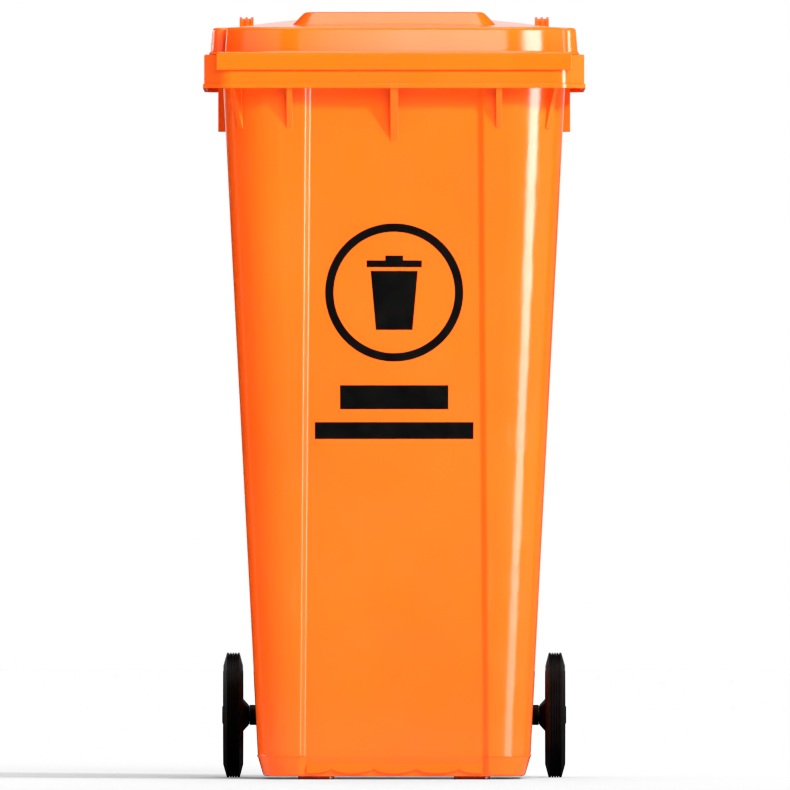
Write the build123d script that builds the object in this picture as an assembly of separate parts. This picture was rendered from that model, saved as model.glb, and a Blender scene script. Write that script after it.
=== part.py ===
from build123d import *
import math
import os

# Two-wheeled mobile waste bin, 120 litre class. Millimetres.
# +Z is up, the front faces -Y, and the origin is on the floor under the middle of the bin.
# "left" is the -X side and "right" the +X side.

# ---------------------------------------------------------------- driving dimensions
TOTAL_HEIGHT = 945.0
TOTAL_DEPTH = 550.0
FRONT = -TOTAL_DEPTH / 2
REAR = TOTAL_DEPTH / 2
OVERCUT = 1.0                   # how far a cutting block reaches past the face it opens
CUT_MARGIN = 10.0               # the same for large blocks
TOUCH = 0.01                    # points closer than this are one point

# tapered tub
WALL = 4.0
FLOOR = 5.0
FOOT_HEIGHT = 3.8
HEEL_TOP = 28.0                 # top of the sloping band round the foot of the tub
RIM_TOP = 890.8
SIDE_TAPER = 0.0517             # outward run of a side wall per millimetre of height
FRONT_TAPER = 0.0779
REAR_TAPER = 0.0122
HEEL_HALF_WIDTH = 167.6
HEEL_FRONT = -182.0
HEEL_REAR = 185.0
HEEL_INSET = 7.0                # how far the foot of the sloping band stands in from its top
HEEL_CORNER = 50.0
RIM_CORNER = 66.0               # corner radius of the tub where it meets the rim

# narrow bead round the tub where the sloping band at its foot begins
BEAD_OUT = 0.7
BEAD_HEIGHT = 1.8
BEAD_SUNK = 0.3
BEAD_ROUND = 0.5

# row of low lens-shaped pads on the front of the band
WAVE_PITCH = 52.2
WAVE_MIDDLE_X = 0.8
WAVE_COUNT = 5
WAVE_HALF_LENGTH = 27.0
WAVE_HALF_HEIGHT = 8.0
WAVE_Z = 15.2
WAVE_LEVEL_Z = 19.0             # the pads' upright faces meet the sloping band at this height

# shallow panel let into the front wall
PANEL_DEPTH = 5.0
PANEL_STEP = 6.8                # width of the sloping step along each side
PANEL_HALF_FOOT = 109.2
PANEL_HALF_RIM = 102.3
PANEL_TOP = 872.0
PANEL_ROUND = 4.5
PANEL_AHEAD = 12.0              # how far ahead of the wall the cutting wedge starts
PANEL_SIDE_SHARE = 0.6          # share of a wall's thickness the step moves sideways inside the tub

# rim: a turned-over skirt
RIM_HALF_WIDTH = 233.5
RIM_FRONT = FRONT + 4.5
RIM_REAR = 215.0
RIM_FACET = 25.4                # each front corner is cut back at 45 degrees by this much
RIM_FACET_ROUND = 19.5
RIM_SIDE_ROUND = 6.0
RIM_REAR_CORNER = 35.0
RIM_FOOT = 849.5
RIM_THICK = 3.5
LIP_HEIGHT = 5.5
LIP_OUT = 1.5
LIP_ROUND = 0.7
RIM_ROUND = 1.4

# triangular webs under the rim
CENTRE_WEB_WIDTH = 9.2
CENTRE_WEB_FOOT = 784.0
SIDE_WEB_WIDTH = 7.0
SIDE_WEB_X = 128.7
SIDE_WEB_FOOT = 800.0
CORNER_WEB_FOOT = 800.0
CORNER_WEB_REACH = 12.0
WEB_BITE = 9.0                  # how deep a web starts inside the wall before the tub is hollowed

# lid hinge and handle, on one axis
HINGE_Y = 259.0
HINGE_Z = 905.0
BRACKET_END_R = REAR - HINGE_Y
OUTER_BRACKET = (206.0, 218.0)
INNER_BRACKET = (150.0, 160.0)
BRACKET_FOOT = 800.5
BRACKET_ROOT = 120.0            # where a bracket starts, inside or beside the tub's wall
BRACKET_TOE = 14.0              # the foot slopes out over this distance and this height
BRACKET_TOE_RISE = 30.0
BRACKET_KNEE_Z = (858.0, 876.0) # the back edge steps out between these heights
BRACKET_KNEE = 14.0
BRACKET_END_FOOT = (6.0, -14.8) # where the straight edges meet the round end, from the hinge axis
BRACKET_END_HEAD = (-3.0, 15.7)
BRACKET_NECK = (16.0, 4.0)      # behind the rim, above the hinge axis
HANDLE_R = 13.0
PIN_R = 6.0
PIN_HEAD_R = 9.0
PIN_HEAD = 3.0
PIN_HEAD_GAP = 0.2
PIN_END_GAP = 0.5
PIN_CHAMFER = 0.8
PIN_INNER_END = 138.0
RUNNING_FIT = 0.05

# lid
LID_WALL = 3.0
LID_GAP = 0.4                   # between the rim and the closed lid
LID_FLANGE = 2.2
LID_HALF_WIDTH = 227.3
LID_REAR = 213.0
LID_CORNER = 32.0
APRON_HALF_WIDTH = 218.0
APRON_FOOT = 871.6
APRON_THICK = 3.6
APRON_REACH = 40.0
APRON_ROUND = 1.5
CROWN_FRONT = FRONT + 10.5
CROWN_REAR = 206.0
NOSE_HALF_WIDTH = 208.5         # narrower front part of the crown
NOSE_FLAT_HALF = 118.0          # flat middle of the nose; from here it sweeps back on an arc
NOSE_SWEEP_R = 120.0
NOSE_CORNER = 7.0
NOSE_CORNER_LEAST = 1.0
CROWN_REAR_CORNER = 20.0
WING_HALF_WIDTH = 226.3         # full-width part of the crown, behind the front corners
WING_FRONT = -196.0
WING_CORNER = 18.0
CROWN_DRAFT = 0.0875
CROWN_VIRTUAL_TOP = 952.0
CROWN_ROUND = 4.0
GRIP_R = 9.0                    # shallow finger hollow in the front face of each wing
GRIP_DEPTH = 2.2
GRIP_X = 217.0
GRIP_Z = 909.0
FLARE_HEIGHT = 3.0              # the crown's foot flares out where it meets the flange
FLARE_OUT = 1.5
FLARE_SINK = 0.5
ROOF_FRONT_Z = 923.6            # at the line where the roof surface is straight, ahead of the crown
ROOF_FRONT_Y = -290.0
ROOF_CREST_Z = 944.8
ROOF_ARCH_R = 1351.0            # side-to-side arch of the crown at its rear crest
DECK_HALF_WIDTH = 110.0         # raised middle panel of the lid
DECK_FRONT = -112.0
DECK_REAR = 128.0
DECK_CORNER = 18.0
DECK_SLOPE = 20.0               # the panel's 45 degree sides run out this far below its top
DECK_ROUND = 9.0
DECK_WALL_EXTRA = 0.6           # the panel's wall is this much thicker than the crown's
HOLLOW_BELOW = 5.0              # the crown's hollow starts this far below the flange
SEAL_RING_DROP = 10.0           # ring under the lid that drops inside the rim
SEAL_RING_GAP = 3.5
SEAL_RING_THICK = 2.5
STIFFENER_THICK = 2.6
STIFFENER_DROP = 7.0
STIFFENER_FRONT_Y = -158.0
STIFFENER_REAR_Y = 164.0
STIFFENER_X = 155.0
STIFFENER_MIDDLE_Y = -20.0
STIFFENER_Z = 930.0
STIFFENER_HEIGHT = 60.0

# lid hinge arms
ARM_X = 183.0
ARM_WIDTH = 17.2
ARM_TOP = 942.4
ARM_RIBS = 3
ARM_RIB_WIDTH = 3.2
ARM_GROOVE_DEPTH = 1.9
ARM_ROOT_Y = 120.0              # the strap rises out of the roof from here to the next
ARM_RISE_Y = 150.0
ARM_LEVEL_Y = (172.0, 226.0)    # its top is level between these
ARM_DROP_Y = 246.0
ARM_ROOT_DROP = 16.0            # depths below the top at those places
ARM_RISE_DROP = 3.0
ARM_REAR_DROP = 8.0
ARM_SOLE_DROP = 20.0
ARM_SOLE_INSET = 12.0
ARM_HEEL_INSET = 3.0
ARM_HEEL_RISE = 1.2
ARM_ON_KNUCKLE = (9.0, 10.8)    # where the back of the strap meets the knuckle, from the hinge axis
ARM_GROOVE_START = (4.0, 1.0)   # the grooves start behind and above the root
ARM_GROOVE_END_Y = (224.0, 238.0)
ARM_GROOVE_OVER = (20.0, 5.0)   # the cutter reaches past the hinge axis and above the top
KNUCKLE_R = 14.0
KNUCKLE_X = (161.5, 204.5)

# axle and wheels
AXLE_Y = 185.0
AXLE_Z = 77.2
AXLE_R = 8.0
AXLE_HALF_LENGTH = 209.0
AXLE_CHAMFER = 1.2
AXLE_WALL_Y = 140.0             # lower rear wall of the tub, in front of the axle
AXLE_WALL_TOP = 122.0
AXLE_SLOPE_TOP = 190.0
AXLE_RIB_X = (0.0, 78.0, 160.0)
AXLE_RIB_THICK = 9.0
AXLE_RIB_R = 19.0
AXLE_RIB_FOOT = 12.0            # above the tub's foot
AXLE_RIB_UNDER = (-8.0, -26.0)  # corners of a rib's outline, from the axle
AXLE_RIB_FLANK = 13.4
AXLE_RIB_HEAD_Y = -4.0
AXLE_RIB_SUNK = (2.0, 4.0)      # how far its head runs into the walls above
SPACER_R = 12.2
SPACER_X = (164.8, 179.0)
WHEEL_R = AXLE_Z
WHEEL_IN = 187.5                # inner and outer faces of the wheel
WHEEL_OUT = 211.8
TREAD_IN = 191.7
TREAD_OUT = 207.3
TYRE_BORE_R = 60.0
TREAD_GROOVES = 4
TREAD_GROOVE_WIDTH = 1.5
TREAD_GROOVE_DEPTH = 1.6
HUB_R = 20.0
HUB_NECK_R = 12.2
HUB_NECK_X = 180.5
HUB_BORE_R = 10.0
HUB_RECESS_R = 11.5
HUB_RECESS_X = 203.0
WEB_THICK = 5.0
WHEEL_RIM_THICK = 6.0
WHEEL_RIM_INSET = 1.2
WHEEL_RIM_DRAFT = 1.0
HUB_BEVEL = 3.0
HUB_DRAFT = 1.0
WHEEL_SPOKES = 8
SPOKE_BITE = 3.0                # how far a spoke runs into the hub and the rim
SPOKE_THICK = 4.0
SPOKE_INSET = 3.5
BUSH_LENGTH = 10.0
BUSH_FLANGE = 1.2
BUSH_FLANGE_R = 11.2
END_PLAY = 0.3
WASHER_THICK = 1.4
WASHER_R = 10.8
RING_THICK = 1.2
RING_TEETH = 6
RING_SLOT = (1.6, 1.8)
RING_SLOT_LIFT = 0.6
CAP_R = 11.35
CAP_OUT = 213.0
CAP_SKIRT = 1.6
CAP_SKIRT_LENGTH = 2.4
CAP_FACE = 0.6
CAP_DOME_IN = 2.0
CAP_EDGE = (0.5, 0.4)

# feet under the front edge
FOOT_X = 96.0
FOOT_Y = -128.0
FOOT_LENGTH = 44.0
FOOT_WIDTH = 26.0
FOOT_ROUND = 8.0

SIDES = {"left": -1, "right": 1}


# ---------------------------------------------------------------- helpers
def plan_section(z, half_width, front, rear, radius):
    """Rounded rectangle lying level at height z, between y = front and y = rear."""
    centre = (0, (front + rear) / 2, z)
    return Plane(origin=centre) * RectangleRounded(2 * half_width, rear - front, radius)


def plan_block(z_low, z_high, half_width, front, rear, radius):
    """Upright block on a rounded rectangle."""
    section = plan_section(z_low, half_width, front, rear, radius)
    return extrude(section, z_high - z_low, dir=(0, 0, 1))


def side_plate(points, x_low, x_high):
    """Plate with an outline of (y, z) points, between two x positions."""
    wire = Polyline(*[(x_low, y, z) for y, z in points], close=True)
    return extrude(make_face(wire), x_high - x_low, dir=(1, 0, 0))


def x_rod(y, z, radius, x_low, x_high):
    """Round bar along X."""
    rod = Cylinder(radius, x_high - x_low, rotation=(0, 90, 0))
    return Pos((x_low + x_high) / 2, y, z) * rod


def x_ring(y, z, inner, outer, x_low, x_high):
    """Round tube along X."""
    return x_rod(y, z, outer, x_low, x_high) - x_rod(y, z, inner, x_low - OVERCUT, x_high + OVERCUT)


def span(side, limits):
    """The (low, high) x limits of a feature given by its distances from the middle plane."""
    return sorted(side * limit for limit in limits)


def spin_about_axle(points):
    """Solid of revolution about the axle; each point is (x, distance from the axle)."""
    wire = Polyline(*[(x, AXLE_Y, AXLE_Z + r) for x, r in points], close=True)
    return revolve(make_face(wire), Axis((0, AXLE_Y, AXLE_Z), (1, 0, 0)), 360)


def try_round(solid, edges, radius):
    """Rounds the edges, or leaves them sharp where the kernel can't."""
    try:
        rounded = fillet(edges, radius)
    except Exception as problem:
        print("left sharp:", radius, problem)
        return solid
    return rounded if rounded.is_valid else solid


# ---------------------------------------------------------------- the tub's outline
def half_width_at(z):
    return HEEL_HALF_WIDTH + (z - HEEL_TOP) * SIDE_TAPER


def front_at(z):
    return HEEL_FRONT - (z - HEEL_TOP) * FRONT_TAPER


def rear_at(z):
    return HEEL_REAR + (z - HEEL_TOP) * REAR_TAPER


def corner_at(z):
    return HEEL_CORNER + (RIM_CORNER - HEEL_CORNER) * (z - HEEL_TOP) / (RIM_TOP - HEEL_TOP)


def tub_section(z, inset):
    """The tub's outline at height z above the sloping band, moved in by inset."""
    return plan_section(
        z,
        half_width_at(z) - inset,
        front_at(z) + inset,
        rear_at(z) - inset,
        corner_at(z) - inset,
    )


def heel_section(z, inset):
    """The tub's outline in the sloping band at its foot."""
    pulled_in = inset + HEEL_INSET * (HEEL_TOP - z) / (HEEL_TOP - FOOT_HEIGHT)
    return plan_section(
        z,
        HEEL_HALF_WIDTH - pulled_in,
        HEEL_FRONT + pulled_in,
        HEEL_REAR - pulled_in,
        HEEL_CORNER - pulled_in,
    )


def tub_loft(z_low, z_high, inset):
    sections = [heel_section(z_low, inset), tub_section(HEEL_TOP, inset), tub_section(z_high, inset)]
    return loft(sections, ruled=True)


def panel_wedge(grow):
    """The space of the front panel's recess, grown by a wall thickness for the inside."""
    heights = (0.0, HEEL_TOP, PANEL_TOP)
    sections = []
    for z in heights:
        share = (z - HEEL_TOP) / (PANEL_TOP - HEEL_TOP)
        half = PANEL_HALF_FOOT + (PANEL_HALF_RIM - PANEL_HALF_FOOT) * max(share, 0.0)
        half += grow * PANEL_SIDE_SHARE
        heel_shift = HEEL_INSET * max(HEEL_TOP - z, 0.0) / (HEEL_TOP - FOOT_HEIGHT)
        wall = front_at(max(z, HEEL_TOP)) + heel_shift
        step = PANEL_STEP / PANEL_DEPTH
        back = wall + PANEL_DEPTH + grow
        front = wall - PANEL_AHEAD
        mouth = half + step * (back - front)
        corners = [(-mouth, front), (mouth, front), (half, back), (-half, back)]
        wire = Polyline(*[(x, y, z) for x, y in corners], close=True)
        sections.append(make_face(wire))
    return loft(sections, ruled=True)


def axle_space(grow):
    """Space behind the tub's lower rear wall, where the axle runs."""
    wall = AXLE_WALL_Y - grow
    shoulder = AXLE_WALL_TOP + grow / 2
    slope = (AXLE_SLOPE_TOP - AXLE_WALL_TOP) / (HEEL_REAR - AXLE_WALL_Y)
    below = -FLOOR
    outline = [
        (wall, below),
        (wall, shoulder),
        (REAR, shoulder + slope * (REAR - wall)),
        (REAR, below),
    ]
    return side_plate(outline, -RIM_HALF_WIDTH, RIM_HALF_WIDTH)


# ---------------------------------------------------------------- body shell
def make_tub_skin():
    """Outside of the tub as one solid, with the front panel let in."""
    skin = tub_loft(FOOT_HEIGHT, RIM_TOP, 0.0) - panel_wedge(0.0)
    step_edges = [
        edge
        for edge in skin.edges()
        if edge.center().Y < HEEL_FRONT / 2
        and PANEL_HALF_RIM - WALL / 2 < abs(edge.center().X) < PANEL_HALF_FOOT + PANEL_STEP + WALL
    ]
    skin = try_round(skin, step_edges, PANEL_ROUND)
    skin += make_foot_bead() + make_foot_waves()
    return skin - axle_space(0.0)


def make_foot_bead():
    """Bead round the tub at the top of the sloping band; it follows the front panel's recess."""
    low = HEEL_TOP - BEAD_SUNK
    bead = loft([tub_section(low, -BEAD_OUT), tub_section(low + BEAD_HEIGHT, -BEAD_OUT)], ruled=True)
    top = low + BEAD_HEIGHT
    bead -= loft([tub_section(low - OVERCUT, WALL), tub_section(top + OVERCUT, WALL)], ruled=True)
    bead = try_round(bead, bead.edges().group_by(Axis.Z)[-1], BEAD_ROUND)
    return bead - panel_wedge(-BEAD_OUT)


def make_foot_waves():
    """Row of lens-shaped pads on the sloping band, inside the front panel."""
    sunk = HEEL_INSET * (HEEL_TOP - WAVE_LEVEL_Z) / (HEEL_TOP - FOOT_HEIGHT)
    face_y = HEEL_FRONT + sunk + PANEL_DEPTH
    pads = []
    for index in range(WAVE_COUNT):
        x = WAVE_MIDDLE_X + (index - (WAVE_COUNT - 1) / 2) * WAVE_PITCH
        upright = Plane(origin=(x, face_y, WAVE_Z), x_dir=(1, 0, 0), z_dir=(0, -1, 0))
        lens = upright * Ellipse(WAVE_HALF_LENGTH, WAVE_HALF_HEIGHT)
        pads.append(extrude(lens, HEEL_INSET + WALL, dir=(0, 1, 0)))
    width = 2 * (PANEL_HALF_FOOT - OVERCUT)
    room = Pos(0, face_y, WAVE_Z) * Box(width, 8 * WALL, 4 * WAVE_HALF_HEIGHT)
    return pads[0].fuse(*pads[1:]) & room


def make_tub_hollow():
    """Inside of the tub, open at the top."""
    hollow = tub_loft(FOOT_HEIGHT + FLOOR, RIM_TOP + CUT_MARGIN, WALL)
    hollow -= panel_wedge(WALL)
    hollow -= axle_space(WALL)
    return hollow


def rim_block(z_low, z_high, inset):
    """Upright block on the rim's outline, whose front corners are cut back at 45 degrees."""
    half = RIM_HALF_WIDTH - inset
    front = RIM_FRONT + inset
    rear = RIM_REAR - inset
    cut = RIM_FACET - inset * (2 - math.sqrt(2))
    right = [(half - cut, front), (half, front + cut), (half, rear)]
    left = [(-x, y) for x, y in reversed(right)]
    outline = make_face(Polyline(*right, *left, close=True))
    corners = outline.vertices()
    rounds = [
        (corners.group_by(Axis.Y)[0], RIM_FACET_ROUND - inset),
        (corners.group_by(Axis.Y)[1], RIM_SIDE_ROUND - inset),
        (corners.group_by(Axis.Y)[-1], RIM_REAR_CORNER - inset),
    ]
    for group, radius in rounds:
        places = [(corner.X, corner.Y) for corner in group]
        here = [v for v in outline.vertices() if any(math.dist((v.X, v.Y), p) < TOUCH for p in places)]
        outline = fillet(here, radius)
    return Pos(0, 0, z_low) * extrude(outline, z_high - z_low, dir=(0, 0, 1))


def make_rim():
    """Turned-over rim with its skirt and the bead round the skirt's foot."""
    band = rim_block(RIM_FOOT, RIM_TOP, 0.0)
    band = try_round(band, band.edges().group_by(Axis.Z)[-1], RIM_ROUND)
    bead = rim_block(RIM_FOOT, RIM_FOOT + LIP_HEIGHT, -LIP_OUT)
    bead = try_round(bead, bead.edges().group_by(Axis.Z)[-1], LIP_ROUND)
    under = rim_block(RIM_FOOT - OVERCUT, RIM_TOP - RIM_THICK, RIM_THICK)
    return band + bead - under


def make_front_web(x, width, foot, sunk):
    """Upright triangular web from the front wall to the rim's skirt; the wall is sunk by sunk there."""
    skirt = RIM_FRONT + RIM_THICK / 2
    ceiling = RIM_TOP - RIM_THICK / 2
    wall = front_at(foot) + sunk
    outline = [
        (wall + WEB_BITE, ceiling),
        (skirt, ceiling),
        (skirt, RIM_FOOT),
        (wall, foot),
        (wall + WEB_BITE, foot),
    ]
    return side_plate(outline, x - width / 2, x + width / 2)


def make_corner_web(side, end):
    """Web on the diagonal of a tub corner; end is -1 at the front and 1 at the rear."""
    z = RIM_FOOT
    radius = corner_at(z)
    centre_x = half_width_at(z) - radius
    centre_y = front_at(z) + radius if end < 0 else rear_at(z) - radius
    ceiling = RIM_TOP - RIM_THICK / 2
    foot_radius = radius - (RIM_FOOT - CORNER_WEB_FOOT) * SIDE_TAPER
    outline = [
        (radius - 3 * WALL, ceiling),
        (radius + CORNER_WEB_REACH, ceiling),
        (radius + CORNER_WEB_REACH, RIM_FOOT),
        (foot_radius, CORNER_WEB_FOOT),
        (radius - 3 * WALL, CORNER_WEB_FOOT),
    ]
    wire = Polyline(*[(reach, 0, height) for reach, height in outline], close=True)
    plate = extrude(make_face(wire), SIDE_WEB_WIDTH / 2, dir=(0, 1, 0), both=True)
    turn = math.degrees(math.atan2(end, side))
    return Pos(side * centre_x, centre_y, 0) * Rot(0, 0, turn) * plate


def make_bracket(side, limits):
    """Handle bracket: an ear behind the rim that carries the handle and the hinge pin."""
    low, high = span(side, limits)
    outline = [
        (BRACKET_ROOT, BRACKET_FOOT),
        (RIM_REAR - BRACKET_TOE, BRACKET_FOOT),
        (RIM_REAR, BRACKET_FOOT + BRACKET_TOE_RISE),
        (RIM_REAR, BRACKET_KNEE_Z[0]),
        (RIM_REAR + BRACKET_KNEE, BRACKET_KNEE_Z[1]),
        (HINGE_Y + BRACKET_END_FOOT[0], HINGE_Z + BRACKET_END_FOOT[1]),
        (HINGE_Y + BRACKET_END_HEAD[0], HINGE_Z + BRACKET_END_HEAD[1]),
        (RIM_REAR + BRACKET_NECK[0], HINGE_Z + BRACKET_NECK[1]),
        (RIM_REAR + OVERCUT, RIM_TOP - OVERCUT),
        (BRACKET_ROOT, RIM_TOP - RIM_THICK / 2),
    ]
    ear = side_plate(outline, low, high)
    return ear + x_rod(HINGE_Y, HINGE_Z, BRACKET_END_R, low, high)


def make_axle_ribs():
    """Ribs behind the lower rear wall, with the bores that hold the axle."""
    ribs = []
    for offset in AXLE_RIB_X:
        for side in (-1, 1) if offset else (1,):
            middle = side * offset
            low = middle - AXLE_RIB_THICK / 2
            high = middle + AXLE_RIB_THICK / 2
            outline = [
                (AXLE_WALL_Y - WALL / 2, FOOT_HEIGHT + AXLE_RIB_FOOT),
                (AXLE_Y + AXLE_RIB_UNDER[0], AXLE_Z + AXLE_RIB_UNDER[1]),
                (AXLE_Y + AXLE_RIB_FLANK, AXLE_Z - AXLE_RIB_FLANK),
                (AXLE_Y + AXLE_RIB_FLANK, AXLE_Z + AXLE_RIB_FLANK),
                (AXLE_Y + AXLE_RIB_HEAD_Y, AXLE_SLOPE_TOP + AXLE_RIB_SUNK[0]),
                (AXLE_WALL_Y - WALL / 2, AXLE_WALL_TOP + AXLE_RIB_SUNK[1]),
            ]
            rib = side_plate(outline, low, high) + x_rod(AXLE_Y, AXLE_Z, AXLE_RIB_R, low, high)
            ribs.append(rib)
    return ribs


def make_feet():
    """Two low pads under the front half of the floor."""
    feet = []
    for side in SIDES.values():
        centre = (side * FOOT_X, FOOT_Y, 0)
        pad = Plane(origin=centre) * RectangleRounded(FOOT_LENGTH, FOOT_WIDTH, FOOT_ROUND)
        feet.append(extrude(pad, FOOT_HEIGHT + FLOOR / 2, dir=(0, 0, 1)))
    return feet


def make_body_shell():
    body = make_tub_skin() + make_rim()
    body += make_front_web(0.0, CENTRE_WEB_WIDTH, CENTRE_WEB_FOOT, PANEL_DEPTH)
    for side in SIDES.values():
        body += make_front_web(side * SIDE_WEB_X, SIDE_WEB_WIDTH, SIDE_WEB_FOOT, 0.0)
        body += make_corner_web(side, -1)
        body += make_corner_web(side, 1)
        body += make_bracket(side, OUTER_BRACKET)
        body += make_bracket(side, INNER_BRACKET)
    for rib in make_axle_ribs():
        body += rib
    body += x_rod(HINGE_Y, HINGE_Z, HANDLE_R, -INNER_BRACKET[0] - OVERCUT, INNER_BRACKET[0] + OVERCUT)
    body -= make_tub_hollow()
    for foot in make_feet():
        body += foot
    body -= x_rod(AXLE_Y, AXLE_Z, AXLE_R + RUNNING_FIT, -RIM_HALF_WIDTH, RIM_HALF_WIDTH)
    for side in SIDES.values():
        low, high = span(side, (PIN_INNER_END, RIM_HALF_WIDTH))
        body -= x_rod(HINGE_Y, HINGE_Z, PIN_R + RUNNING_FIT, low, high)
    return body


# ---------------------------------------------------------------- lid
def nose_section(z, inset):
    """The nose's outline: flat in the middle, swept back on an arc to each front corner."""
    half = NOSE_HALF_WIDTH - inset
    front = CROWN_FRONT + inset
    rear = CROWN_REAR - inset
    sweep = NOSE_SWEEP_R - inset
    centre_y = front + sweep
    corner_y = centre_y - math.sqrt(sweep**2 - (half - NOSE_FLAT_HALF) ** 2)
    middle_turn = math.asin((half - NOSE_FLAT_HALF) / sweep) / 2
    middle_x = NOSE_FLAT_HALF + sweep * math.sin(middle_turn)
    middle_y = centre_y - sweep * math.cos(middle_turn)
    edges = [
        Line((-NOSE_FLAT_HALF, front), (NOSE_FLAT_HALF, front)),
        ThreePointArc((NOSE_FLAT_HALF, front), (middle_x, middle_y), (half, corner_y)),
        Line((half, corner_y), (half, rear)),
        Line((half, rear), (-half, rear)),
        Line((-half, rear), (-half, corner_y)),
        ThreePointArc((-half, corner_y), (-middle_x, middle_y), (-NOSE_FLAT_HALF, front)),
    ]
    outline = make_face(Wire(edges))
    front_corners = [v for v in outline.vertices() if abs(v.Y - corner_y) < TOUCH]
    outline = fillet(front_corners, max(NOSE_CORNER - inset / 2, NOSE_CORNER_LEAST))
    rear_corners = [v for v in outline.vertices() if abs(v.Y - rear) < TOUCH]
    outline = fillet(rear_corners, CROWN_REAR_CORNER - inset)
    return Pos(0, 0, z) * outline


def wing_section(z, inset):
    """The outline of the crown's full-width part behind the nose."""
    return plan_section(
        z, WING_HALF_WIDTH - inset, WING_FRONT + inset, CROWN_REAR - inset, WING_CORNER - inset
    )


def crown_block(section, inset, z_low):
    """Upright block of the crown, drafted inward towards its top."""
    run = (CROWN_VIRTUAL_TOP - z_low) * CROWN_DRAFT
    return loft([section(z_low, inset), section(CROWN_VIRTUAL_TOP, inset + run)], ruled=True)


def crown_flare(section):
    """Sloping foot between the crown's wall and the flange."""
    foot = RIM_TOP + LID_GAP + LID_FLANGE - FLARE_SINK
    run = (LID_FLANGE + FLARE_HEIGHT) * CROWN_DRAFT
    return loft([section(foot, -FLARE_OUT), section(foot + FLARE_HEIGHT, run + FLARE_SINK)], ruled=True)


def grip_hollows():
    """Ball-shaped finger hollows in the front faces of the two wings."""
    y = WING_FRONT + (GRIP_Z - RIM_TOP) * CROWN_DRAFT - GRIP_R + GRIP_DEPTH
    return [Pos(side * GRIP_X, y, GRIP_Z) * Sphere(GRIP_R) for side in SIDES.values()]


def roofed(block, drop):
    """A crown block cut off at the roof, with its top edge rounded when it is the outside."""
    cut = block - above_roof(drop)
    if drop:
        return cut
    top_edges = [edge for edge in cut.edges() if edge.bounding_box().min.Z > ROOF_FRONT_Z - CUT_MARGIN]
    return try_round(cut, top_edges, CROWN_ROUND)


def above_roof(drop):
    """Everything above the crown's roof: level at the front edge, arched at the rear crest."""
    sky = CROWN_VIRTUAL_TOP + 2 * CUT_MARGIN
    front_y = ROOF_FRONT_Y
    half = LID_HALF_WIDTH + CUT_MARGIN
    sag = ROOF_ARCH_R - math.sqrt(ROOF_ARCH_R**2 - half**2)
    eave = ROOF_CREST_Z - drop - sag
    front_z = ROOF_FRONT_Z - drop
    front_wire = Wire(
        [
            Line((-half, front_y, front_z), (half, front_y, front_z)),
            Line((half, front_y, front_z), (half, front_y, sky)),
            Line((half, front_y, sky), (-half, front_y, sky)),
            Line((-half, front_y, sky), (-half, front_y, front_z)),
        ]
    )
    rear_wire = Wire(
        [
            ThreePointArc(
                (-half, CROWN_REAR, eave),
                (0, CROWN_REAR, ROOF_CREST_Z - drop),
                (half, CROWN_REAR, eave),
            ),
            Line((half, CROWN_REAR, eave), (half, CROWN_REAR, sky)),
            Line((half, CROWN_REAR, sky), (-half, CROWN_REAR, sky)),
            Line((-half, CROWN_REAR, sky), (-half, CROWN_REAR, eave)),
        ]
    )
    return loft([Face(front_wire), Face(rear_wire)], ruled=True)


def make_crown(inset, z_low):
    """The crown as a solid; moved in by a wall thickness it is also its own hollow."""
    nose = crown_block(nose_section, inset, z_low)
    wings = crown_block(wing_section, inset, z_low)
    return roofed(nose, inset) + roofed(wings, inset)


def make_deck(drop):
    """Raised middle panel with 45 degree sides."""
    top = TOTAL_HEIGHT - drop
    foot = plan_section(
        top - DECK_SLOPE,
        DECK_HALF_WIDTH + DECK_SLOPE,
        DECK_FRONT - DECK_SLOPE,
        DECK_REAR + DECK_SLOPE,
        DECK_CORNER + DECK_SLOPE,
    )
    upper = plan_section(top, DECK_HALF_WIDTH, DECK_FRONT, DECK_REAR, DECK_CORNER)
    return loft([foot, upper], ruled=True)


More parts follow.
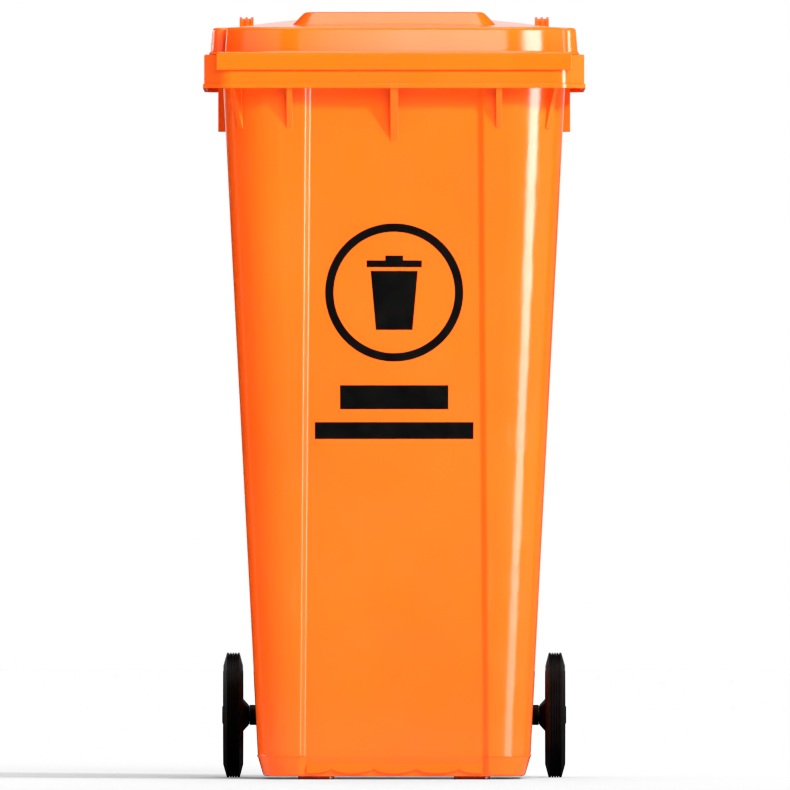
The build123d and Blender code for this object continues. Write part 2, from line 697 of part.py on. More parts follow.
def make_arm(side):
    """Hinge arm: a ribbed strap from the crown's roof back to the knuckle on the hinge pin."""
    low, high = span(side, (ARM_X - ARM_WIDTH / 2, ARM_X + ARM_WIDTH / 2))
    level_start, level_end = ARM_LEVEL_Y
    outline = [
        (ARM_ROOT_Y, ARM_TOP - ARM_ROOT_DROP),
        (ARM_RISE_Y, ARM_TOP - ARM_RISE_DROP),
        (level_start, ARM_TOP),
        (level_end, ARM_TOP),
        (ARM_DROP_Y, ARM_TOP - ARM_REAR_DROP),
        (HINGE_Y + ARM_ON_KNUCKLE[0], HINGE_Z + ARM_ON_KNUCKLE[1]),
        (HINGE_Y, HINGE_Z - KNUCKLE_R + OVERCUT),
        (CROWN_REAR - ARM_HEEL_INSET, RIM_TOP + LID_GAP + ARM_HEEL_RISE),
        (CROWN_REAR - ARM_SOLE_INSET, ARM_TOP - ARM_SOLE_DROP),
    ]
    arm = side_plate(outline, low, high)
    start_y = ARM_ROOT_Y + ARM_GROOVE_START[0]
    over_y = HINGE_Y + ARM_GROOVE_OVER[0]
    over_z = ARM_TOP + ARM_GROOVE_OVER[1]
    groove_outline = [
        (start_y, ARM_TOP - ARM_ROOT_DROP + ARM_GROOVE_START[1]),
        (ARM_RISE_Y, ARM_TOP - ARM_RISE_DROP - ARM_GROOVE_DEPTH),
        (level_start, ARM_TOP - ARM_GROOVE_DEPTH),
        (ARM_GROOVE_END_Y[0], ARM_TOP - ARM_GROOVE_DEPTH),
        (ARM_GROOVE_END_Y[1], ARM_TOP - ARM_REAR_DROP - ARM_GROOVE_DEPTH),
        (over_y, ARM_TOP - ARM_REAR_DROP - ARM_GROOVE_DEPTH),
        (over_y, over_z),
        (start_y, over_z),
    ]
    pitch = (ARM_WIDTH - ARM_RIB_WIDTH) / (ARM_RIBS - 1)
    for gap in range(ARM_RIBS - 1):
        left = low + ARM_RIB_WIDTH + gap * pitch
        arm -= side_plate(groove_outline, left, low + (gap + 1) * pitch)
    low, high = span(side, KNUCKLE_X)
    return arm + x_rod(HINGE_Y, HINGE_Z, KNUCKLE_R, low, high)


def make_lid_flange():
    """Flat flange that lies on the rim, and the apron that hangs in front of it."""
    foot = RIM_TOP + LID_GAP
    flange = plan_block(foot, foot + LID_FLANGE, LID_HALF_WIDTH, RIM_FRONT, LID_REAR, LID_CORNER)
    width = 2 * APRON_HALF_WIDTH
    middle = (0, FRONT + APRON_REACH / 2, foot + LID_FLANGE / 2)
    apron_top = Pos(*middle) * Box(width, APRON_REACH, LID_FLANGE)
    drop = foot + LID_FLANGE - APRON_FOOT
    apron = Pos(0, FRONT + APRON_THICK / 2, APRON_FOOT + drop / 2) * Box(width, APRON_THICK, drop)
    skirt = apron_top + apron
    outer_corner = skirt.edges().filter_by(Axis.X).group_by(Axis.Y)[0].sort_by(Axis.Z)
    skirt = try_round(skirt, [outer_corner[0], outer_corner[-1]], APRON_ROUND)
    return flange + skirt


def make_seal_ring():
    """Ring under the lid that drops inside the mouth of the tub, and the ledge that carries it."""
    foot = RIM_TOP + LID_GAP
    top = foot + LID_FLANGE
    low = RIM_TOP - SEAL_RING_DROP
    inset = WALL + SEAL_RING_GAP
    half = half_width_at(RIM_TOP) - inset
    front = front_at(RIM_TOP) + inset + PANEL_DEPTH
    rear = rear_at(RIM_TOP) - inset
    corner = RIM_CORNER - inset
    thick = SEAL_RING_THICK
    ring = plan_block(low, foot + OVERCUT, half, front, rear, corner)
    ledge = plan_block(foot, top, LID_HALF_WIDTH, RIM_FRONT, LID_REAR, LID_CORNER)
    mouth = plan_block(
        low - OVERCUT, top + OVERCUT, half - thick, front + thick, rear - thick, corner - thick
    )
    return ring + ledge - mouth


def make_stiffeners():
    """Cross ribs moulded under the roof of the crown."""
    ribs = []
    for y in (STIFFENER_FRONT_Y, STIFFENER_REAR_Y):
        across = Box(2 * NOSE_HALF_WIDTH, STIFFENER_THICK, STIFFENER_HEIGHT)
        ribs.append(Pos(0, y, STIFFENER_Z) * across)
    for x in (-STIFFENER_X, STIFFENER_X):
        along = Box(STIFFENER_THICK, 2 * CROWN_REAR, STIFFENER_HEIGHT)
        ribs.append(Pos(x, STIFFENER_MIDDLE_Y, STIFFENER_Z) * along)
    return ribs


def make_lid_shell():
    foot = RIM_TOP + LID_GAP
    crown = make_crown(0.0, foot)
    deck = make_deck(0.0)
    deck = try_round(deck, deck.edges().group_by(Axis.Z)[-1], DECK_ROUND)
    lid = crown + crown_flare(nose_section) + crown_flare(wing_section)
    lid += deck + make_lid_flange()
    for side in SIDES.values():
        lid += make_arm(side)
    lid -= make_crown(LID_WALL, foot - HOLLOW_BELOW) + make_deck(LID_WALL + DECK_WALL_EXTRA)
    for grip in grip_hollows():
        lid -= grip
    room = make_crown(LID_WALL / 2, foot)
    shelf = room & make_crown(LID_WALL + STIFFENER_DROP, foot - HOLLOW_BELOW)
    for rib in make_stiffeners():
        lid += (rib & room) - shelf - make_deck(LID_WALL / 2)
    lid += make_seal_ring()
    for side in SIDES.values():
        low, high = span(side, (KNUCKLE_X[0] - OVERCUT, KNUCKLE_X[1] + OVERCUT))
        lid -= x_rod(HINGE_Y, HINGE_Z, PIN_R + RUNNING_FIT, low, high)
    return lid


# ---------------------------------------------------------------- hinge pins, axle and wheels
def make_hinge_pin(side):
    """Pin with a flat head outside the bracket."""
    outside = OUTER_BRACKET[1]
    low, high = span(side, (PIN_INNER_END + PIN_END_GAP, outside + OVERCUT))
    shank = x_rod(HINGE_Y, HINGE_Z, PIN_R, low, high)
    low, high = span(side, (outside + PIN_HEAD_GAP, outside + PIN_HEAD_GAP + PIN_HEAD))
    head = x_rod(HINGE_Y, HINGE_Z, PIN_HEAD_R, low, high)
    return shank + chamfer(head.edges(), PIN_CHAMFER)


def make_axle():
    rod = x_rod(AXLE_Y, AXLE_Z, AXLE_R, -AXLE_HALF_LENGTH, AXLE_HALF_LENGTH)
    return chamfer(rod.edges().filter_by(GeomType.CIRCLE), AXLE_CHAMFER)


def make_spacer(side):
    low, high = span(side, SPACER_X)
    return x_ring(AXLE_Y, AXLE_Z, AXLE_R + RUNNING_FIT, SPACER_R, low, high)


def make_wheel_core(side):
    """Moulded wheel: hub, web, rim and spokes."""
    middle = (WHEEL_IN + WHEEL_OUT) / 2
    rim_in = WHEEL_IN + WHEEL_RIM_INSET
    rim_out = WHEEL_OUT - WHEEL_RIM_INSET
    rim_r = TYRE_BORE_R - WHEEL_RIM_THICK
    outline = [
        (HUB_NECK_X, HUB_BORE_R),
        (HUB_NECK_X, HUB_NECK_R),
        (WHEEL_IN, HUB_R),
        (middle - WEB_THICK / 2, HUB_R),
        (middle - WEB_THICK / 2, rim_r),
        (rim_in, rim_r + WHEEL_RIM_DRAFT),
        (rim_in, TYRE_BORE_R),
        (rim_out, TYRE_BORE_R),
        (rim_out, rim_r + WHEEL_RIM_DRAFT),
        (middle + WEB_THICK / 2, rim_r),
        (middle + WEB_THICK / 2, HUB_R),
        (WHEEL_OUT - HUB_BEVEL, HUB_R - HUB_DRAFT),
        (WHEEL_OUT, HUB_R - HUB_DRAFT - HUB_BEVEL),
        (WHEEL_OUT, HUB_RECESS_R),
        (HUB_RECESS_X, HUB_RECESS_R),
        (HUB_RECESS_X, HUB_BORE_R),
    ]
    core = spin_about_axle([(side * x, r) for x, r in outline])
    depth = rim_out - rim_in - 2 * SPOKE_INSET
    length = rim_r - HUB_R + 2 * SPOKE_BITE
    for index in range(WHEEL_SPOKES):
        spoke = Pos(0, 0, HUB_R + length / 2 - SPOKE_BITE) * Box(depth, SPOKE_THICK, length)
        turned = Rot(360.0 * index / WHEEL_SPOKES, 0, 0) * spoke
        core += Pos(side * middle, AXLE_Y, AXLE_Z) * turned
    return core


def make_tyre(side):
    """Solid tyre with sloping shoulders and rings round its tread."""
    pitch = (TREAD_OUT - TREAD_IN) / (TREAD_GROOVES + 1)
    inner_edge = WHEEL_IN + WHEEL_RIM_INSET
    outer_edge = WHEEL_OUT - WHEEL_RIM_INSET
    shoulder = TYRE_BORE_R + WHEEL_RIM_INSET
    outline = [(inner_edge, TYRE_BORE_R), (WHEEL_IN, shoulder), (TREAD_IN, WHEEL_R)]
    for groove in range(TREAD_GROOVES):
        middle = TREAD_IN + (groove + 1) * pitch
        floor_r = WHEEL_R - TREAD_GROOVE_DEPTH
        outline.append((middle - TREAD_GROOVE_WIDTH / 2, WHEEL_R))
        outline.append((middle - TREAD_GROOVE_WIDTH / 4, floor_r))
        outline.append((middle + TREAD_GROOVE_WIDTH / 4, floor_r))
        outline.append((middle + TREAD_GROOVE_WIDTH / 2, WHEEL_R))
    outline += [(TREAD_OUT, WHEEL_R), (WHEEL_OUT, shoulder), (outer_edge, TYRE_BORE_R)]
    return spin_about_axle([(side * x, r) for x, r in outline])


def make_inner_bush(side):
    """Flanged bush in the wheel's inner end."""
    bore = AXLE_R + RUNNING_FIT
    outline = [
        (HUB_NECK_X - BUSH_FLANGE, bore),
        (HUB_NECK_X - BUSH_FLANGE, BUSH_FLANGE_R),
        (HUB_NECK_X, BUSH_FLANGE_R),
        (HUB_NECK_X, HUB_BORE_R),
        (HUB_NECK_X + BUSH_LENGTH, HUB_BORE_R),
        (HUB_NECK_X + BUSH_LENGTH, bore),
    ]
    return spin_about_axle([(side * x, r) for x, r in outline])


def make_outer_bush(side):
    """Flanged bush in the wheel's outer end."""
    bore = AXLE_R + RUNNING_FIT
    outline = [
        (HUB_RECESS_X + BUSH_FLANGE, bore),
        (HUB_RECESS_X + BUSH_FLANGE, BUSH_FLANGE_R),
        (HUB_RECESS_X, BUSH_FLANGE_R),
        (HUB_RECESS_X, HUB_BORE_R),
        (HUB_RECESS_X - BUSH_LENGTH, HUB_BORE_R),
        (HUB_RECESS_X - BUSH_LENGTH, bore),
    ]
    return spin_about_axle([(side * x, r) for x, r in outline])


def washer_limits():
    start = HUB_RECESS_X + BUSH_FLANGE + END_PLAY
    return start, start + WASHER_THICK


def make_washer(side):
    low, high = span(side, washer_limits())
    return x_ring(AXLE_Y, AXLE_Z, AXLE_R + RUNNING_FIT, WASHER_R, low, high)


def make_retaining_ring(side):
    """Push-on ring that grips the axle with its teeth."""
    start = washer_limits()[1]
    low, high = span(side, (start, start + RING_THICK))
    ring = x_ring(AXLE_Y, AXLE_Z, AXLE_R, WASHER_R, low, high)
    for index in range(RING_TEETH):
        slot = Pos(0, 0, AXLE_R + RING_SLOT_LIFT) * Box(4 * RING_THICK, *RING_SLOT)
        turned = Rot(360.0 * index / RING_TEETH, 0, 0) * slot
        ring -= Pos(side * (start + RING_THICK / 2), AXLE_Y, AXLE_Z) * turned
    return ring


def make_hub_cap(side):
    """Snap-in cap with a slightly domed face."""
    skirt_r = CAP_R - CAP_SKIRT
    outline = [
        (CAP_OUT, 0.0),
        (CAP_OUT, CAP_R - CAP_DOME_IN),
        (CAP_OUT - CAP_EDGE[0], CAP_R - CAP_EDGE[1]),
        (WHEEL_OUT, CAP_R),
        (WHEEL_OUT - CAP_SKIRT_LENGTH, CAP_R),
        (WHEEL_OUT - CAP_SKIRT_LENGTH, skirt_r),
        (WHEEL_OUT - CAP_FACE, skirt_r),
        (WHEEL_OUT - CAP_FACE, 0.0),
    ]
    return spin_about_axle([(side * x, r) for x, r in outline])


# ---------------------------------------------------------------- write one file per node
def build_nodes():
    nodes = {
        "body_shell": make_body_shell(),
        "lid_shell": make_lid_shell(),
        "axle_rod": make_axle(),
    }
    per_side = {
        "hinge_pin": make_hinge_pin,
        "axle_spacer": make_spacer,
        "wheel_core": make_wheel_core,
        "tyre": make_tyre,
        "inner_bush": make_inner_bush,
        "outer_bush": make_outer_bush,
        "axle_washer": make_washer,
        "retaining_ring": make_retaining_ring,
        "hub_cap": make_hub_cap,
    }
    for side_name, side in SIDES.items():
        for piece_name, make in per_side.items():
            nodes[f"{side_name}_{piece_name}"] = make(side)
    return nodes


os.makedirs("parts", exist_ok=True)
for node_name, shape in build_nodes().items():
    shape.label = node_name
    export_step(shape, f"parts/{node_name}.step")
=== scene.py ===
import math

import bpy
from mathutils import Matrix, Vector
from mathutils.bvhtree import BVHTree


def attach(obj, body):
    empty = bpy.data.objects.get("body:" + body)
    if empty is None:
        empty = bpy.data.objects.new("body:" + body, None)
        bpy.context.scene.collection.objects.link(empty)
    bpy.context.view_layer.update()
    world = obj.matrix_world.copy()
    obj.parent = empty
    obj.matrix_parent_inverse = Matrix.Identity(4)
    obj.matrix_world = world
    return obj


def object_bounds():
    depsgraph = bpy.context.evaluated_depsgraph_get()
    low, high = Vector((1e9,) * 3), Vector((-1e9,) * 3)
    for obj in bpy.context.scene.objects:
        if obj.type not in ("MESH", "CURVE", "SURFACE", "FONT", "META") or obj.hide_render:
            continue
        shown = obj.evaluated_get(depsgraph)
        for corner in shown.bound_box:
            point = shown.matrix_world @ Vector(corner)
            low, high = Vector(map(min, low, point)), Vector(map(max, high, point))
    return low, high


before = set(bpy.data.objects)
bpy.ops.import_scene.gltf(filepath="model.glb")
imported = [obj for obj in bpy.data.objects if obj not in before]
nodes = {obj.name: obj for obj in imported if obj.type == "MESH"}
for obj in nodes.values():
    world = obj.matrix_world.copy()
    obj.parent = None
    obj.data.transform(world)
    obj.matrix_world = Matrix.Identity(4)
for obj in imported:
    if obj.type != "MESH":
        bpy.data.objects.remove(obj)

cad_low, cad_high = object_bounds()

# ---------------------------------------------------------------- materials
class Nodes:
    """One material's node tree, with short calls for the nodes it needs."""

    def __init__(self, name):
        self.material = bpy.data.materials.new(name)
        self.material.use_nodes = True
        self.tree = self.material.node_tree
        self.shader = self.tree.nodes["Principled BSDF"]
        self.where = self.tree.nodes.new("ShaderNodeTexCoord").outputs["Object"]

    def add(self, kind, **values):
        node = self.tree.nodes.new("ShaderNode" + kind)
        for key, value in values.items():
            if hasattr(node, key):
                setattr(node, key, value)
            else:
                node.inputs[key.replace("_", " ")].default_value = value
        return node

    def link(self, source, target):
        self.tree.links.new(source, target)

    def stretched(self, scale):
        mapping = self.add("Mapping")
        mapping.inputs["Scale"].default_value = scale
        self.link(self.where, mapping.inputs["Vector"])
        return mapping.outputs["Vector"]

    def noise(self, size, detail=3.0, roughness=0.5, vector=None):
        node = self.add("TexNoise", Scale=1.0 / size, Detail=detail, Roughness=roughness)
        self.link(vector or self.where, node.inputs["Vector"])
        return node.outputs["Fac"]

    def ramp(self, source, low, high, to_low=0.0, to_high=1.0):
        node = self.add("MapRange", From_Min=low, From_Max=high, To_Min=to_low, To_Max=to_high)
        self.link(source, node.inputs["Value"])
        return node.outputs["Result"]

    def maths(self, operation, first, second):
        node = self.add("Math", operation=operation)
        for socket, value in zip(node.inputs, (first, second)):
            if isinstance(value, (int, float)):
                socket.default_value = value
            else:
                self.link(value, socket)
        return node.outputs["Value"]

    def mix(self, factor, first, second):
        node = self.add("Mix", data_type="RGBA")
        if isinstance(factor, float):
            node.inputs[0].default_value = factor
        else:
            self.link(factor, node.inputs[0])
        for socket, value in ((node.inputs[6], first), (node.inputs[7], second)):
            if isinstance(value, tuple):
                socket.default_value = (*value, 1.0)
            else:
                self.link(value, socket)
        return node.outputs[2]

    def bump(self, height, strength, distance, under=None):
        node = self.add("Bump", Strength=strength, Distance=distance)
        self.link(height, node.inputs["Height"])
        if under is not None:
            self.link(under, node.inputs["Normal"])
        return node.outputs["Normal"]

    def edge_wear(self, reach, low, high):
        """1 along worn edges and corners, 0 on flat faces, broken up by noise."""
        bevel = self.add("Bevel", samples=4, Radius=reach)
        normal = self.add("NewGeometry").outputs["Normal"]
        dot = self.add("VectorMath", operation="DOT_PRODUCT")
        self.link(bevel.outputs["Normal"], dot.inputs[0])
        self.link(normal, dot.inputs[1])
        edge = self.ramp(dot.outputs["Value"], 0.999, 0.93)
        patches = self.ramp(self.noise(0.03, 5.0, 0.65), low, high)
        return self.maths("MULTIPLY", edge, patches)


def glossy_orange(name, base, deep, worn, roughness):
    """Moulded glossy polyethylene: fine grain, faint flow marks, rubbed edges."""
    m = Nodes(name)
    cloud = m.ramp(m.noise(0.22, 3.0), 0.35, 0.65)
    colour = m.mix(cloud, base, deep)
    speck = m.ramp(m.noise(0.0016, 2.0), 0.62, 0.78, 0.0, 0.10)
    colour = m.mix(speck, colour, worn)
    streaks = m.noise(0.012, 4.0, 0.6, m.stretched((1.0, 1.0, 0.12)))
    scuff = m.ramp(streaks, 0.62, 0.80, 0.0, 0.12)
    colour = m.mix(scuff, colour, worn)
    edge = m.edge_wear(0.0012, 0.45, 0.75)
    colour = m.mix(m.maths("MULTIPLY", edge, 0.35), colour, worn)
    m.link(colour, m.shader.inputs["Base Color"])
    rough = m.ramp(m.noise(0.05, 5.0, 0.6), 0.3, 0.7, roughness * 0.82, roughness * 1.25)
    rough = m.maths("ADD", rough, m.maths("MULTIPLY", scuff, 1.2))
    m.link(rough, m.shader.inputs["Roughness"])
    grain = m.bump(m.noise(0.0011, 3.0, 0.6), 0.09, 0.0004)
    waves = m.bump(m.noise(0.07, 1.0), 0.10, 0.004, grain)
    bevel = m.add("Bevel", samples=4, Radius=0.0009)
    m.link(waves, bevel.inputs["Normal"])
    m.link(bevel.outputs["Normal"], m.shader.inputs["Normal"])
    m.shader.inputs["IOR"].default_value = 1.5
    return m.material


def matt_plastic(name, base, pale, roughness, grain_size=0.0012, strength=0.25):
    """Black plastic or rubber: clouded colour, paler edges, fine grain."""
    m = Nodes(name)
    cloud = m.ramp(m.noise(0.02, 4.0), 0.4, 0.7, 0.0, 0.5)
    edge = m.edge_wear(0.0008, 0.4, 0.7)
    colour = m.mix(m.maths("MAXIMUM", cloud, edge), base, pale)
    m.link(colour, m.shader.inputs["Base Color"])
    rough = m.ramp(m.noise(0.015, 4.0), 0.3, 0.7, roughness * 0.85, min(1.0, roughness * 1.2))
    m.link(rough, m.shader.inputs["Roughness"])
    m.link(m.bump(m.noise(grain_size, 3.0), strength, 0.0004), m.shader.inputs["Normal"])
    m.shader.inputs["Specular IOR Level"].default_value = 0.08
    return m.material


def plated_steel(name):
    """Zinc plated bar with fine turning marks."""
    m = Nodes(name)
    cloud = m.ramp(m.noise(0.006, 4.0), 0.35, 0.7)
    colour = m.mix(cloud, (0.62, 0.61, 0.58), (0.45, 0.45, 0.46))
    m.link(colour, m.shader.inputs["Base Color"])
    m.shader.inputs["Metallic"].default_value = 1.0
    turned = m.noise(0.0006, 2.0, 0.5, m.stretched((8.0, 1.0, 1.0)))
    m.link(m.ramp(turned, 0.3, 0.7, 0.22, 0.42), m.shader.inputs["Roughness"])
    m.link(m.bump(turned, 0.15, 0.0003), m.shader.inputs["Normal"])
    return m.material


def printed_ink(name):
    """Black ink, worn thin in small spots so that the orange shows through."""
    m = Nodes(name)
    cloud = m.ramp(m.noise(0.03, 4.0), 0.4, 0.7)
    thin = m.ramp(m.noise(0.0035, 4.0, 0.7), 0.68, 0.8, 0.0, 0.5)
    ink = m.mix(cloud, (0.0006, 0.0006, 0.0006), (0.002, 0.0018, 0.0016))
    colour = m.mix(thin, ink, (0.08, 0.012, 0.002))
    m.link(colour, m.shader.inputs["Base Color"])
    m.link(m.ramp(m.noise(0.01, 3.0), 0.3, 0.7, 0.38, 0.55), m.shader.inputs["Roughness"])
    m.link(m.bump(m.noise(0.0012, 3.0), 0.12, 0.0003), m.shader.inputs["Normal"])
    m.shader.inputs["Specular IOR Level"].default_value = 0.12
    return m.material


ORANGE = (0.95, 0.098, 0.0042)
ORANGE_DEEP = (0.93, 0.088, 0.0036)
ORANGE_WORN = (0.96, 0.15, 0.016)
PIN_ORANGE = (0.86, 0.085, 0.004)
PIN_DEEP = (0.80, 0.07, 0.0034)
WHEEL_BLACK = (0.0006, 0.0006, 0.0007)
WHEEL_PALE = (0.0025, 0.0025, 0.0025)
TYRE_BLACK = (0.0006, 0.0006, 0.0006)
TYRE_PALE = (0.003, 0.0029, 0.0028)
BUSH_BLACK = (0.0018, 0.0018, 0.0019)
BUSH_PALE = (0.006, 0.006, 0.006)
FINISH = {
    "body_plastic": glossy_orange("body_orange", ORANGE, ORANGE_DEEP, ORANGE_WORN, 0.15),
    "lid_plastic": glossy_orange("lid_orange", ORANGE, ORANGE_DEEP, ORANGE_WORN, 0.13),
    "pin_plastic": glossy_orange("pin_orange", PIN_ORANGE, PIN_DEEP, ORANGE_WORN, 0.34),
    "wheel_plastic": matt_plastic("wheel_black", WHEEL_BLACK, WHEEL_PALE, 0.42),
    "tyre_rubber": matt_plastic("tyre_black", TYRE_BLACK, TYRE_PALE, 0.45, 0.0008, 0.4),
    "bush_plastic": matt_plastic("bush_black", BUSH_BLACK, BUSH_PALE, 0.42),
    "steel": plated_steel("zinc_steel"),
    "print_ink": printed_ink("print_ink"),
}
for node in nodes.values():
    slot_name = node.data.materials[0].name
    node.data.materials[0] = FINISH[slot_name]

# ---------------------------------------------------------------- the print on the front panel
PRINT_THICK = 0.00012
PRINT_SUNK = 0.00003
RING_Z = 0.5987
RING_OUT = 0.0849
RING_IN = 0.0745
RING_STEPS = 128
# the bin drawn in the ring: half width, foot and head from the ring's middle, share of width at the foot
PICTOGRAM = (
    (0.034, 0.0310, 0.0395, 1.0),
    (0.011, 0.0395, 0.0455, 1.0),
    (0.029, -0.0460, 0.0265, 0.78),
)
# the two plain bars under it: name, middle height, half height, half width
BARS = (
    ("print_upper_bar", 0.470, 0.0148, 0.0666),
    ("print_lower_bar", 0.429, 0.0104, 0.0976),
)
PROBE_X = 0.05
PROBE_HEIGHTS = (0.40, 0.70)
shell = nodes["body_shell"]
skin = BVHTree.FromObject(shell, bpy.context.evaluated_depsgraph_get())


def skin_at(x, z):
    """The point of the front panel straight behind (x, z)."""
    return skin.ray_cast(Vector((x, cad_low.y - 1.0, z)), Vector((0, 1, 0)))[0]


foot_hit, head_hit = [skin_at(PROBE_X, z) for z in PROBE_HEIGHTS]
UP = (head_hit - foot_hit).normalized()
OUT = Vector((1, 0, 0)).cross(UP).normalized()


def on_panel(u, v, lift):
    """A point of the print: u across, v its height, lift its distance off the surface."""
    base = foot_hit + UP * ((v - foot_hit.z) / UP.z)
    return Vector((u, base.y, base.z)) + OUT * lift


def print_mesh(name, shapes):
    """Thin raised ink: every shape is a strip of facing points, closed all round."""
    verts, faces = [], []
    for outer, inner, closed in shapes:
        start = len(verts)
        count = len(outer)
        for lift in (PRINT_THICK, -PRINT_SUNK):
            verts += [on_panel(u, v, lift) for u, v in outer]
            verts += [on_panel(u, v, lift) for u, v in inner]
        top_o, top_i, low_o, low_i = (start + k * count for k in range(4))
        last = count if closed else count - 1
        for k in range(last):
            n = (k + 1) % count
            faces.append((top_o + k, top_o + n, top_i + n, top_i + k))
            faces.append((low_o + n, low_o + k, low_i + k, low_i + n))
            faces.append((low_o + k, low_o + n, top_o + n, top_o + k))
            faces.append((top_i + k, top_i + n, low_i + n, low_i + k))
        if not closed:
            for k in (0, count - 1):
                end = (top_o + k, top_i + k, low_i + k, low_o + k)
                faces.append(end if k else end[::-1])
    mesh = bpy.data.meshes.new(name)
    mesh.from_pydata(verts, [], faces)
    mesh.update()
    obj = bpy.data.objects.new(name, mesh)
    bpy.context.collection.objects.link(obj)
    mesh.materials.append(FINISH["print_ink"])
    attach(obj, "bin")
    return obj


def circle(radius):
    turns = [2 * math.pi * k / RING_STEPS for k in range(RING_STEPS)]
    return [(radius * math.cos(t), RING_Z + radius * math.sin(t)) for t in turns]


def band(half_width, z_low, z_high, taper=1.0, steps=12):
    """A level strip, with its lower edge narrowed to the share taper."""
    us = [-half_width + 2 * half_width * k / steps for k in range(steps + 1)]
    return [(u * taper, z_low) for u in us], [(u, z_high) for u in us], False


print_mesh("print_ring", [(circle(RING_OUT), circle(RING_IN), True)])
print_mesh("print_pictogram", [
    band(half, RING_Z + foot, RING_Z + head, taper) for half, foot, head, taper in PICTOGRAM
])
for bar_name, bar_z, half_height, half_width in BARS:
    print_mesh(bar_name, [band(half_width, bar_z - half_height, bar_z + half_height)])

# ---------------------------------------------------------------- floor and light
WHITE = (1.0, 1.0, 1.0)
WARM = (1.0, 0.72, 0.5)
TUB_MIDDLE = 0.5
LID_LEVEL = 0.9


def soft_light(name, size, power, azimuth, height, distance, seen_in, colour=WHITE, aim_z=TUB_MIDDLE):
    """A rectangular soft light that faces the bin; azimuth 0 is in front, 90 at its right.

    seen_in is "diffuse" for light that falls on things or "glossy" for light seen in their gloss.
    """
    data = bpy.data.lights.new(name, "AREA")
    data.shape = "RECTANGLE"
    data.size, data.size_y = size
    data.energy = power
    data.color = colour
    obj = bpy.data.objects.new(name, data)
    bpy.context.collection.objects.link(obj)
    turn = math.radians(azimuth)
    aim = Vector((0, 0, aim_z))
    obj.location = Vector((math.sin(turn) * distance, -math.cos(turn) * distance, height))
    obj.rotation_euler = (aim - obj.location).to_track_quat("-Z", "Y").to_euler()
    obj.visible_diffuse = seen_in == "diffuse"
    obj.visible_glossy = seen_in == "glossy"
    obj.visible_camera = False
    return obj


FACING_BACK = (math.pi / 2, 0, 0)
FACING_FRONT = (math.pi / 2, 0, math.pi)
FACING_DOWN = (0, 0, 0)
FACING_UP = (math.pi, 0, 0)


def panel_light(name, size, power, place, facing):
    """A soft panel at a place of its own, seen only in the bin's gloss."""
    obj = soft_light(name, size, power, 0.0, 1.0, 1.0, "glossy")
    obj.location = place
    obj.rotation_euler = facing


FLOOR_SIZE = 60.0
bpy.ops.mesh.primitive_plane_add(size=FLOOR_SIZE, location=(0, 0, 0))
floor = bpy.context.object
floor.name = "floor"
floor.is_shadow_catcher = True
floor.visible_glossy = False
floor.visible_shadow = False
floor_look = Nodes("floor_pale")
floor_look.shader.inputs["Roughness"].default_value = 0.6
floor_look.shader.inputs["Base Color"].default_value = (0.86, 0.86, 0.86, 1.0)
floor.data.materials.append(floor_look.material)

# a white background for the camera alone: all light on the bin comes from the soft lights
world = bpy.data.worlds.new("studio")
bpy.context.scene.world = world
world.use_nodes = True
background = world.node_tree.nodes["Background"]
background.inputs["Color"].default_value = (*WHITE, 1.0)
path = world.node_tree.nodes.new("ShaderNodeLightPath")
world.node_tree.links.new(path.outputs["Is Camera Ray"], background.inputs["Strength"])

# name, (width, height), power, azimuth, height and distance of the middle
LIGHTS_ON_THINGS = (
    ("key_right", (0.6, 0.6), 500.0, 42.0, 3.4, 5.0),
    ("front_right", (2.2, 2.2), 290.0, 12.0, 3.2, 5.2),
    ("fill_left", (4.0, 4.0), 60.0, -85.0, 1.8, 5.0),
    ("fill_right", (4.0, 4.0), 90.0, 85.0, 1.8, 5.0),
    ("fill_back", (4.0, 4.0), 340.0, 180.0, 1.8, 5.0),
    ("fill_top", (6.0, 6.0), 210.0, 0.0, 5.0, 0.01),
)
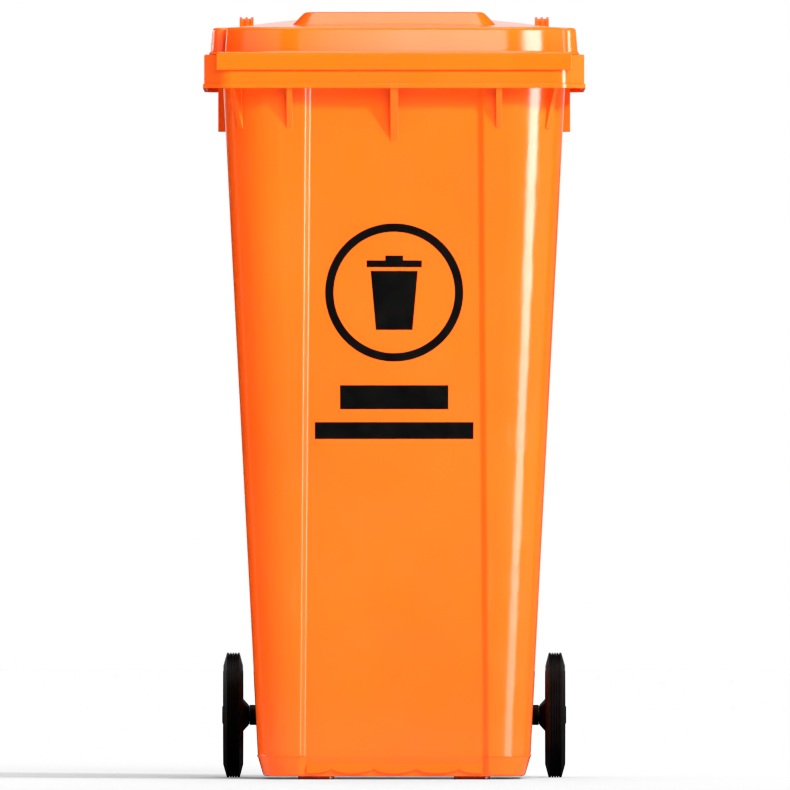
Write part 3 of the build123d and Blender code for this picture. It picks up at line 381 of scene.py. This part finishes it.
# the same, then the colour and the height it is aimed at
LIGHTS_IN_GLOSS = (
    ("strip_right", (1.4, 2.55), 55.0, 52.0, 0.475, 4.0, WHITE, TUB_MIDDLE),
    ("strip_right_middle", (1.4, 2.1), 44.8, 52.0, 0.705, 4.0, WHITE, TUB_MIDDLE),
    ("strip_right_upper", (1.7, 1.7), 76.0, 50.0, 0.9, 4.0, WHITE, TUB_MIDDLE),
    ("side_right", (2.4, 5.0), 10.0, 92.0, 1.2, 4.0, WHITE, TUB_MIDDLE),
    ("edge_right", (2.4, 5.0), 7.0, 138.0, 0.6, 5.0, WHITE, TUB_MIDDLE),
    ("strip_left", (0.3, 5.0), 5.0, -112.0, 0.8, 4.0, WARM, TUB_MIDDLE),
    ("corner_left", (2.4, 0.8), 48.0, -125.0, 1.65, 4.0, WHITE, LID_LEVEL),
    ("sheen_left", (3.4, 1.0), 12.0, -45.0, 1.75, 4.0, WHITE, LID_LEVEL),
)
# name, (width, height), power, place of the middle, facing
PANELS_IN_GLOSS = (
    ("sheen_wide", (0.80, 0.22), 3.2, (0.33, -1.87, 1.19), FACING_BACK),
    ("sheen_right", (0.66, 0.22), 2.2, (0.40, -1.87, 1.19), FACING_BACK),
    ("room_behind", (8.0, 1.6), 36.0, (0.0, 6.0, 1.55), FACING_FRONT),
    ("ceiling", (3.0, 3.0), 92.0, (0.0, 0.0, 4.0), FACING_DOWN),
    ("floor_glow", (1.2, 0.6), 0.7, (0.0, -0.35, -0.002), FACING_UP),
)
for light_name, size, power, azimuth, height, distance in LIGHTS_ON_THINGS:
    soft_light(light_name, size, power, azimuth, height, distance, "diffuse")
for light_name, size, power, azimuth, height, distance, colour, aim_z in LIGHTS_IN_GLOSS:
    soft_light(light_name, size, power, azimuth, height, distance, "glossy", colour, aim_z)
for light_name, size, power, place, facing in PANELS_IN_GLOSS:
    panel_light(light_name, size, power, place, facing)

# ---------------------------------------------------------------- camera
LENS = 1650.0
SENSOR_WIDTH = 36.0
FRAME_WIDTH = 0.9698            # what the picture spans at the bin's front
CAMERA_X = 0.001
CAMERA_HEIGHT = 0.33
CLIP_START = 1.0
scene = bpy.context.scene
scene.view_settings.view_transform = "Standard"
scene.view_settings.look = "None"
camera_data = bpy.data.cameras.new("camera")
camera_data.sensor_width = SENSOR_WIDTH
camera_data.lens = LENS
camera = bpy.data.objects.new("camera", camera_data)
bpy.context.collection.objects.link(camera)
away = FRAME_WIDTH * LENS / SENSOR_WIDTH
middle = (cad_low.z + cad_high.z) / 2
camera.location = (CAMERA_X, cad_low.y - away, CAMERA_HEIGHT)
camera.rotation_euler = (math.pi / 2 + math.atan((middle - CAMERA_HEIGHT) / away), 0, 0)
camera_data.clip_start = CLIP_START
camera_data.clip_end = away * 3
scene.camera = camera
